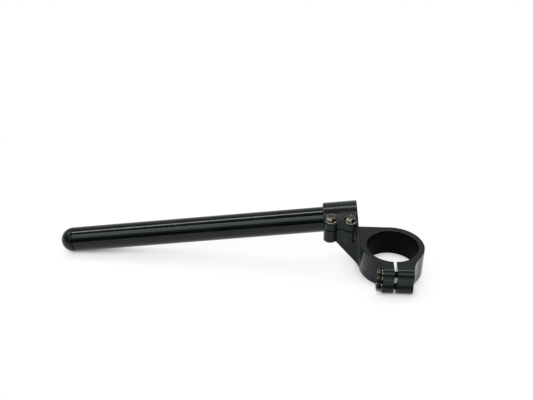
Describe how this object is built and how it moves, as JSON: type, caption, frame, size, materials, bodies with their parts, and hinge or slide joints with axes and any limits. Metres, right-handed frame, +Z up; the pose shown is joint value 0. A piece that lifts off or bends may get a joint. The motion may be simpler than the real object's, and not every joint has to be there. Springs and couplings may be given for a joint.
{
  "type": "clip on handlebar",
  "caption": "Black clip-on motorcycle handlebar for one fork leg: a split ring bracket with a raised bar clamp, holding a drooped plain bar tube with a domed end plug.",
  "frame": {"origin": "on the fork leg's axis, at the lower face of the ring", "axes": "+Z up along the fork leg, -X out along the bar towards its end plug, -Y towards the ring's slit and lugs"},
  "size_m": [0.3286, 0.0684, 0.06],
  "materials": {
    "bracket": "satin black anodised",
    "tube": "glossy black anodised",
    "plug": "matt black",
    "bolt": "dark bronze plating"
  },
  "bodies": {
    "root": {"fork_bracket": "bracket", "bar_tube": "tube", "bar_end_plug": "plug", "bar_clamp_bolts": "bolt", "fork_clamp_bolts": "bolt"}
  },
  "joints": []
}
